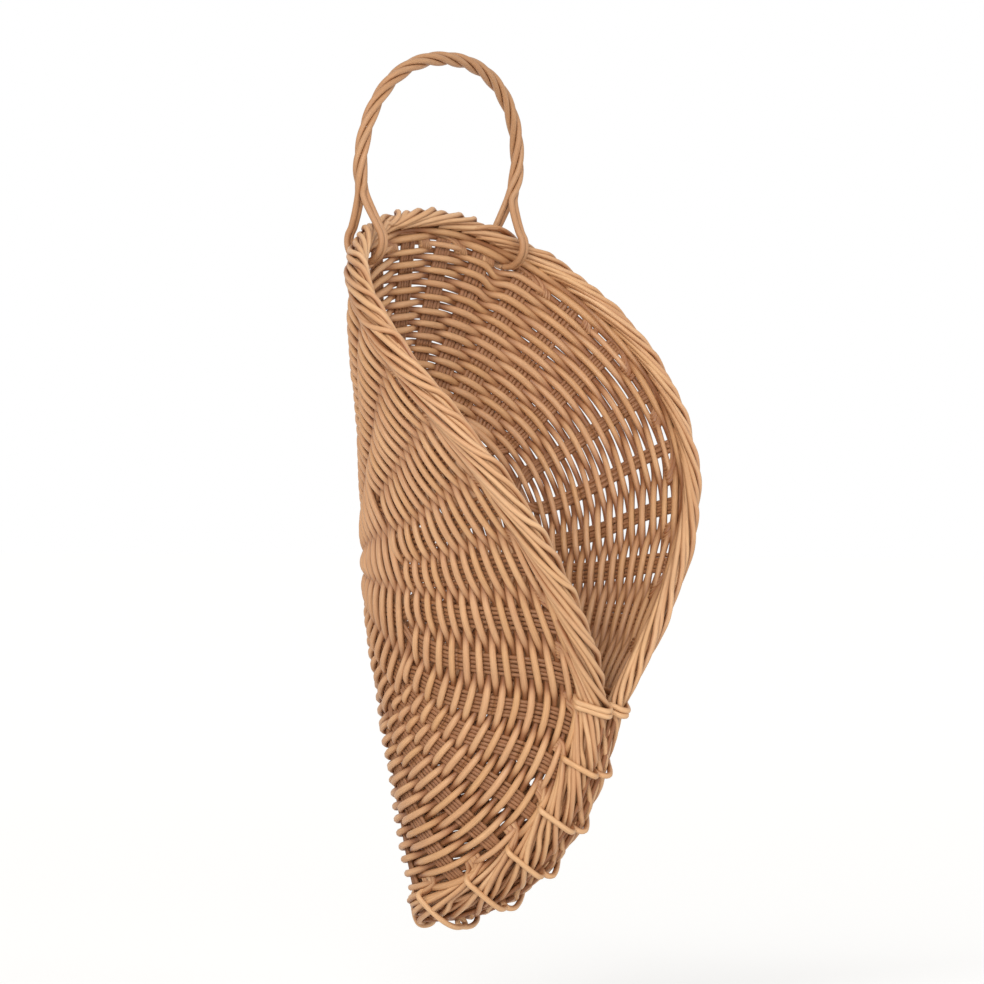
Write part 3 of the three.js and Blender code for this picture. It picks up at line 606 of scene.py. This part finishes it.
def makeCross(values, parts):
    # each end runs straight in its own row near the centre, and blends into its ray further out
    count = np.arange(groups)
    beside = np.where(count % 2 == 0, -1, 1) * stakes["spacing"] / edges[0]
    ray = groupAngle(wrapped(2.0 * (count // 2) + 1), edges[0]) + beside
    along = np.linspace(0, 1, values["steps"]) * edges[0]
    order = np.argsort(ray)
    across, up, layer = np.zeros(groups), np.zeros(groups), np.zeros(groups)
    direction = np.zeros((groups, 2))
    startAt = int(np.argmin(np.abs(ray[order]))) - 4  # of the nine ends at the tip, the first
    for size, heading in [(9, (0, -1)), (8, (1, 0)), (9, (0, 1)), (8, (-1, 0))]:
        ends = order[(startAt + np.arange(size)) % groups]
        offset = (np.arange(size) - (size - 1) / 2) * values["spacing"]
        direction[ends] = heading
        across[ends], up[ends] = -heading[1] * offset, heading[0] * offset
        layer[ends] = values["layer"] if heading[0] else -values["layer"]
        startAt += size
    straight = np.stack([across, up], -1)[:, None] + direction[:, None] * along[None, :, None]
    radial = np.stack([np.sin(ray), -np.cos(ray)], -1)[:, None] * along[None, :, None]
    weight = smoothStep((along - values["fanStart"]) / values["fanDepth"])[None, :, None]
    flat = straight * (1 - weight) + radial * weight
    radius, angle = np.hypot(flat[..., 0], flat[..., 1]), np.arctan2(flat[..., 0], -flat[..., 1])
    level = 1 - smoothStep((along - values["layerStart"]) / values["layerFade"])
    centres, normal = matPoint(radius, angle, layer[:, None] * level)
    wide = np.full((groups, 1), values["spacing"])
    rings, place = sweep(centres, normal, wide, wide, values["sides"])
    parts[0].append((rings, place, False, chance.random(groups), values["worn"]))


def makeWeave():
    # one piece of weavers and one of stakes for the centre and for each band
    weavers = [[] for edge in edges]
    rods = [[] for edge in edges]
    makeRounds(rounds, weavers)
    makeSpiral(spiral, weavers)
    makeStakes(stakes, rods)
    makeCross(cross, rods)
    for n in range(len(edges)):
        name, solid = ("Centre", "woven_centre") if n == 0 else ("Band%d" % n, "weave_band_%d" % n)
        makePiece("weave" + name, weavers[n], weaverCane, "basket", [solid])
        makePiece("stakes" + name, rods[n], stakeCane, "basket")


makeWeave()

# The five stakes of each group turn aside as one bundle, three above two: they come out of the weave on the
# outer face, run slantwise to the edge, go over it and tuck in again on the inner face, over three groups
# on. The path gives (groups further on, radius, outward distance). Starts are where the five lie in the
# bundle, and gather is the bell, in shares of the path, by which it is drawn together. It leaves a dark gap.
border = {"strand": 3.45, "strandSpread": 0.05, "roundness": 0.94, "sides": 8, "steps": 64, "groupLength": 36,
          "starts": [0.0, 0.31, 0.63, 0.15, 0.8], "lift": [0.7, 0.0, -0.7, -2.7, -2.7], "liftSpread": 0.25,
          "beginApart": 0.06, "apartBy": 0.3, "gather": (0.22, 0.45, 0.1), "besideFoot": 0.28,
          "besideBy": 0.5, "footGroups": (-15, 15), "footRoom": (5.4, 7.0), "waver": (0.09, 0.04),
          "middle": 198.5, "oval": 1.6, "shadeSteepness": 2.2,
          "path": [(0.0, 184.0, -0.4), (0.05, 188.0, -0.2), (0.28, 190.8, 1.4), (0.55, 192.5, 3.6),
                   (1.1, 196.2, 4.7), (1.6, 200.8, 4.3), (1.88, 204.0, 2.7), (2.05, 205.6, 0.0),
                   (2.22, 204.9, -2.4), (2.55, 202.4, -3.9), (3.0, 199.8, -3.7), (3.35, 197.8, -1.8),
                   (3.5, 197.0, 0.0)]}
# The stakes' hidden lengths fill the roll: rods all the way round, and two more along the seam, which close
# it. Each is (radius, outward distance).
core = {"diameter": 2.8, "sides": 8, "round": [(200.2, 1.2), (200.4, -1.5), (202.6, 0.0)], "roundSteps": 300,
        "seam": [(205.2, -1.4), (205.2, 1.4)], "seamAngle": 66, "seamSteps": 160}


def makeBorder(values):
    # every strand is the same path, begun at its own place, and lift moves it out from the roll's oval middle
    group, member = everyPair(groups, 5)
    length = values["groupLength"]
    stops = evenPath(smoothPath(np.array(values["path"]) * (length, 1, 1), 12), values["steps"])
    share = np.linspace(0, 1, values["steps"])
    apart = np.array(values["starts"])[member] * smoothStep(share / values["apartBy"])
    start = group + values["beginApart"] * (member - 2) + apart * (1 - bellAt(values["gather"], share))
    # the bundle beside each foot of the handle starts further on, clear of the loop
    beside = values["besideFoot"] * np.isin(wrapped(group), values["footGroups"])
    start = start + beside * (1 - smoothStep(share / values["besideBy"]))
    waver = chance.normal(0, values["waver"][0], group.shape) * np.sin(2 * np.pi * share)
    waver = waver + chance.normal(0, values["waver"][1], group.shape) * np.sin(3 * np.pi * share)
    count = start + stops[:, 0] / length + waver
    lift = np.array(values["lift"])[member] + chance.normal(0, values["liftSpread"], group.shape)
    lift = lift * np.sin(np.pi * share) ** 0.5
    span = np.hypot(stops[:, 1] - values["middle"], stops[:, 2] * values["oval"])
    radius = stops[:, 1] + lift * (stops[:, 1] - values["middle"]) / span
    outward = stops[:, 2] + lift * stops[:, 2] * values["oval"] / span
    angle = groupAngle(wrapped(count), mat["sweepEnd"])
    angle = spread(radius, angle, [mat["footAngle"]], values["footRoom"])
    centres = matPoint(radius, angle, outward)[0]
    middle = matPoint(values["middle"] + 0 * radius, angle)[0]
    size = values["strand"] * (1 + chance.normal(0, values["strandSpread"], group.shape))
    rings, place = sweep(centres, centres - middle, size, size * values["roundness"], values["sides"])
    # painted shade on the sides and underside of each strand, made steeper by the power so that the gaps
    # between strands look dark
    worn = topSide(place, size[..., None]) ** values["shadeSteepness"]
    makePiece("borderStrands", [(rings, place, False, chance.random(len(group)), worn)], rimCane,
              "basket", ["rim_wale", "rim_plait"])


def makeCore(values):
    # rods at one radius and one outward distance all along, each with its own shade
    parts, thick = [], values["diameter"]
    around = np.linspace(-np.pi, np.pi, values["roundSteps"] + 1)[:-1]
    seam = np.radians(np.linspace(-values["seamAngle"], values["seamAngle"], values["seamSteps"]))
    # the core lies hidden in the roll, so its rods take heavy painted shade all along
    for places, angle, closed, strand, worn in ((values["round"], around, True, 0.2, 0.2),
                                                (values["seam"], seam, False, 0.5, 0.25)):
        for radius, outward in places:
            centres, normal = matPoint(radius, angle, outward)
            rings, place = sweepOne(centres, normal, thick, thick, values["sides"], closed)
            parts.append((rings, place, closed, np.array([strand]), worn))
    makePiece("borderCore", parts, stakeCane, "basket")


makeBorder(border)
makeCore(core)

# Six ties close the seam. Over is the path of one half of a tie, (radius, outward distance), from inside
# the weave out through its hole and over the border's outer face to its edge, 0.6 mm clear of the border.
# Between the two halves it dips towards the inside of the mat. The top one goes round twice.
lacing = {"over": [(190.0, -6.35), (190.0, 0.0), (191.0, 6.35), (195.5, 6.85), (203.0, 7.35), (206.2, 6.615),
                   (208.1, 2.94)],
          "diameter": 3.5, "flat": 0.95, "sides": 10, "dip": 6.0, "turnsApart": 3.7, "turnsRadius": 203}
# The binding at the tip is an oval round the folded border, a circle with its axes' cosines to a power.
binding = {"halfHeight": 10.85, "halfDepth": 7.4, "power": 0.7, "width": 3.5, "thickness": 3.4, "sides": 10,
           "strand": 0.6, "inner": 190.4, "outer": 207.0}


def makeTies(values):
    # over's path on the left, the dip, and the same path back on the right, closed by a smooth curve
    radius, outward = np.array(values["over"]).T
    wide, thick = values["diameter"], values["diameter"] * values["flat"]
    for number, place in enumerate(mat["tieAngles"]):
        parts = []
        for turn in (-0.5, 0.5) if number == 0 else (0.0,):
            angle = math.radians(place) + turn * values["turnsApart"] / values["turnsRadius"]
            left, right = matPoint(radius, angle, outward)[0], matPoint(radius, -angle, outward)[0]
            seam, inner = (left[-1] + right[-1]) / 2, (left[0] + right[0]) / 2
            dip = seam + (inner - seam) / np.linalg.norm(inner - seam) * values["dip"]
            path = smoothPath(np.vstack([left, [dip], right[::-1]]), 8, True)
            rings, grain = sweepOne(path, path - path.mean(0), wide, thick, values["sides"], True)
            # painted shade on the side of the tie that faces into the weave
            parts.append((rings, grain, True, chance.random(1), topSide(grain, wide)))
        solid = "seam_tie_%d" % (number + 1)
        makePiece("seamTie%d" % (number + 1), parts, laceCane, "basket", [solid])


def makeBinding(values):
    # middle + down * halfHeight * cos^p + outward * halfDepth * sin^p
    middle, outward = matPoint(roll["rollMiddle"], 0.0)
    down = matPoint(values["outer"], 0.0)[0] - matPoint(values["inner"], 0.0)[0]
    down /= np.linalg.norm(down)
    turn = np.arange(12) * math.pi / 6
    along, beside = (np.sign(wave) * np.abs(wave) ** values["power"] for wave in (np.cos(turn), np.sin(turn)))
    offset = along[:, None] * values["halfHeight"] * down + beside[:, None] * values["halfDepth"] * outward
    path = smoothPath(middle + offset, 6, True)
    rings, grain = sweepOne(path, path - middle, values["width"], values["thickness"], values["sides"], True)
    # painted shade on the side of the binding that faces into the border
    part = (rings, grain, True, np.array([values["strand"]]), topSide(grain, values["thickness"]))
    makePiece("tipBinding", [part], laceCane, "basket", ["tip_binding"])


makeTies(lacing)
makeBinding(binding)

# Four rods are turned round the middle line of a squared half ellipse, and parted at its feet to half loops
# round the border. Rod is the solids' diameter, and drawn is the one shown, which closes the twist.
handle = {"halfWidth": 76.5, "squareness": 2.2, "widestDrop": 60.0, "rod": 3.3, "drawn": 3.55, "sides": 10,
          "turns": 4, "splitHeight": 27.0, "legLean": 50.0, "spread": 1.8, "loopRadius": 12.35, "gap": 0.3,
          "steps": 120, "pathSteps": 360, "shadeUntil": 1.0, "shadeFade": 2.8}


def loopMeeting(foot, loopRadius):
    # the angle at which the loop, a circle round the foot, meets the middle of the wall below the foot
    count, depth, near, far = 400, 30, 20, 120
    level = foot[2] - roll["centreHeight"]
    heights, widths = np.linspace(level - depth, level, count), np.linspace(near, far, count)
    grid = middlePoint(widths[None] + 0 * heights[:, None], heights[:, None] + 0 * widths[None])
    reach = np.array([np.interp(foot[0], row[:, 0], row[:, 1]) for row in grid]) - foot[1]
    heights = heights - level
    at = np.interp(-loopRadius, -np.hypot(reach, heights), np.arange(count))
    return math.atan2(np.interp(at, np.arange(count), heights), np.interp(at, np.arange(count), reach))


def hoopLine(foot, values):
    # across = width * cos^p, height falls with 1 - sin^p, and the line leans back to the feet as it falls
    top = foot[2] + values["splitHeight"]
    crown = values["spread"] * math.sqrt(2) + values["rod"] / 2
    turn = np.pi * (1 - np.arange(25) / 24)
    power = 2 / values["squareness"]
    across = np.sign(np.cos(turn)) * np.abs(np.cos(turn)) ** power
    height = crown - (1 - np.maximum(np.sin(turn), 0) ** power) * (values["widestDrop"] + crown)
    lean = (crown - height) / (crown - top)
    line = np.stack([across * values["halfWidth"], lean * foot[1], height], -1)
    wide = (foot[0] + values["halfWidth"]) / 2
    return np.vstack([[[-wide, foot[1], top]], line, [[wide, foot[1], top]]])


def makeHandle(values):
    # rod = middle line + spread * (sideways * cos(turn) + back * sin(turn)), then an arc round each foot
    foot = matPoint(roll["rollMiddle"], math.radians(mat["footAngle"]))[0]
    meeting = loopMeeting(foot, values["loopRadius"])
    middle = evenPath(smoothPath(hoopLine(foot, values), 12), values["steps"] + 1)
    finer = evenPath(middle, 10 * values["steps"])
    tangent = unit(np.gradient(middle, axis=0))
    sideways = unit(np.cross([0.0, 1.0, 0.0], tangent))
    back = np.cross(tangent, sideways)
    out = values["spread"] * math.sqrt(2)
    for rod in range(4):
        start = math.pi / 4 + rod * math.pi / 2
        turn = start + 2 * math.pi * values["turns"] * np.linspace(0, 1, values["steps"] + 1)
        hoop = middle + sideways * np.cos(turn)[:, None] * out + back * np.sin(turn)[:, None] * out
        sideX, sideY = np.sign(math.cos(start)), np.sign(math.sin(start))
        first = meeting + sideY * values["gap"] / 2 / values["loopRadius"]
        last = -math.pi / 2 + sideY * math.radians(180 - values["legLean"])
        arc = first + (last - first) * np.arange(7) / 6
        across, radius = foot[0] - sideX * values["spread"], values["loopRadius"]
        depth, height = foot[1] + np.cos(arc) * radius, foot[2] + np.sin(arc) * radius
        loops = [np.stack([hand * across + 0 * arc, depth, height], -1) for hand in (-1, 1)]
        path = evenPath(smoothPath(np.vstack([loops[0], hoop[::3], loops[1][::-1]]), 6), values["pathSteps"])
        outward, thick = carriedAlong(path, (1, 0, 0)), values["drawn"]
        rings, grain = sweepOne(path, outward, thick, thick, values["sides"])
        # painted shade: the side of each rod that faces into the twist is darkened, the side that faces out
        # is left plain
        nearest = finer[np.argmin(np.linalg.norm(path[:, None] - finer[None], axis=2), axis=1)]
        away = np.linalg.norm(rings[0] - nearest[:, None], axis=-1)
        worn = smoothStep((away - values["shadeUntil"]) / values["shadeFade"])[None]
        makePiece("handleRod%d" % (rod + 1), [(rings, grain, False, chance.random(1), worn)], handleCane,
                  "handle", ["handle_rod_%d" % (rod + 1)])


makeHandle(handle)

# White paper floor, white backdrop and two large soft lamps, each (name, place, watts, width).
studio = {"floorHeight": -0.56, "floorSize": 60.0, "paper": "#F6F5F3", "floorWhite": 0.367,
          "lampShare": 0.245, "lampReach": 2.2, "world": 0.7, "backdrop": 1.0, "aim": (0.0, 0.0, -0.25),
          "lamps": [("keyLight", (-3.2, -1.4, 1.15), 78.0, 2.0), ("fillLight", (-1.2, -3.4, 1.0), 27.0, 2.4)]}
white = (1.0, 1.0, 1.0, 1.0)


def backdropRays(tree):
    # the rays that see the plain background: the camera's, and those that gloss and glass send on
    path = addNode(tree, "ShaderNodeLightPath", {}, {})
    seen = addNode(tree, "ShaderNodeMath", {"operation": "MAXIMUM"},
                   {0: (path, "Is Camera Ray"), 1: (path, "Is Transmission Ray")})
    return addNode(tree, "ShaderNodeMath", {"operation": "MAXIMUM"},
                   {0: (seen, 0), 1: (path, "Is Glossy Ray")})


def makeFloor(values):
    # a square of white paper, far wider than the view, that takes the soft shadow
    half = values["floorSize"] / 2
    corners = [(-half, -half), (half, -half), (half, half), (-half, half)]
    mesh = bpy.data.meshes.new("floor")
    mesh.from_pydata([(x, y, values["floorHeight"]) for x, y in corners], [], [(0, 1, 2, 3)])
    floor = bpy.data.objects.new("floor", mesh)
    bpy.context.scene.collection.objects.link(floor)
    paint = bpy.data.materials.new("white_paper_floor")
    paint.use_nodes = True
    tree = paint.node_tree
    tree.nodes.clear()
    # To those rays the paper glows by what the lamps leave short of white, so that it meets the backdrop and
    # keeps the shadow: floorWhite - lampShare * e^(-distance / lampReach).
    shader = addNode(tree, "ShaderNodeBsdfDiffuse", {}, {"Color": linear(values["paper"])})
    place = addNode(tree, "ShaderNodeTexCoord", {}, {})
    away = addNode(tree, "ShaderNodeVectorMath", {"operation": "LENGTH"}, {0: (place, "Object")})
    fall = addNode(tree, "ShaderNodeMath", {"operation": "MULTIPLY"},
                   {0: (away, "Value"), 1: -1 / values["lampReach"]})
    light = addNode(tree, "ShaderNodeMath", {"operation": "EXPONENT"}, {0: (fall, 0)})
    short = addNode(tree, "ShaderNodeMath", {"operation": "MULTIPLY_ADD"},
                    {0: (light, 0), 1: -values["lampShare"], 2: values["floorWhite"]})
    strength = addNode(tree, "ShaderNodeMath", {"operation": "MULTIPLY"},
                       {0: (short, 0), 1: (backdropRays(tree), 0)})
    glow = addNode(tree, "ShaderNodeEmission", {}, {"Color": white, "Strength": (strength, 0)})
    both = addNode(tree, "ShaderNodeAddShader", {}, {0: (shader, "BSDF"), 1: (glow, "Emission")})
    addNode(tree, "ShaderNodeOutputMaterial", {}, {"Surface": (both, 0)})
    mesh.materials.append(paint)


def makeWorld(values):
    # a plain white backdrop to the rays that see it, and a softer light to all others
    world = bpy.data.worlds.new("studio")
    bpy.context.scene.world = world
    world.use_nodes = True
    tree = world.node_tree
    tree.nodes.clear()
    soft = addNode(tree, "ShaderNodeBackground", {}, {"Color": white, "Strength": values["world"]})
    plain = addNode(tree, "ShaderNodeBackground", {}, {"Color": white, "Strength": values["backdrop"]})
    both = addNode(tree, "ShaderNodeMixShader", {}, {0: (backdropRays(tree), 0), 1: (soft, 0), 2: (plain, 0)})
    addNode(tree, "ShaderNodeOutputWorld", {}, {"Surface": (both, 0)})


def makeLamps(values):
    # round lamps turned to the middle of the basket
    for name, place, power, width in values["lamps"]:
        data = bpy.data.lights.new(name, "AREA")
        data.shape, data.size, data.energy = "DISK", width, power
        lamp = bpy.data.objects.new(name, data)
        aim = np.array(values["aim"]) - np.array(place)
        lamp.location = place
        tilt = math.atan2(math.hypot(aim[0], aim[1]), -aim[2])
        lamp.rotation_euler = (tilt, 0, math.atan2(-aim[0], aim[1]))
        bpy.context.scene.collection.objects.link(lamp)


makeFloor(studio)
makeWorld(studio)
makeLamps(studio)
bpy.context.scene.view_settings.view_transform = "Standard"
print("studio lit")
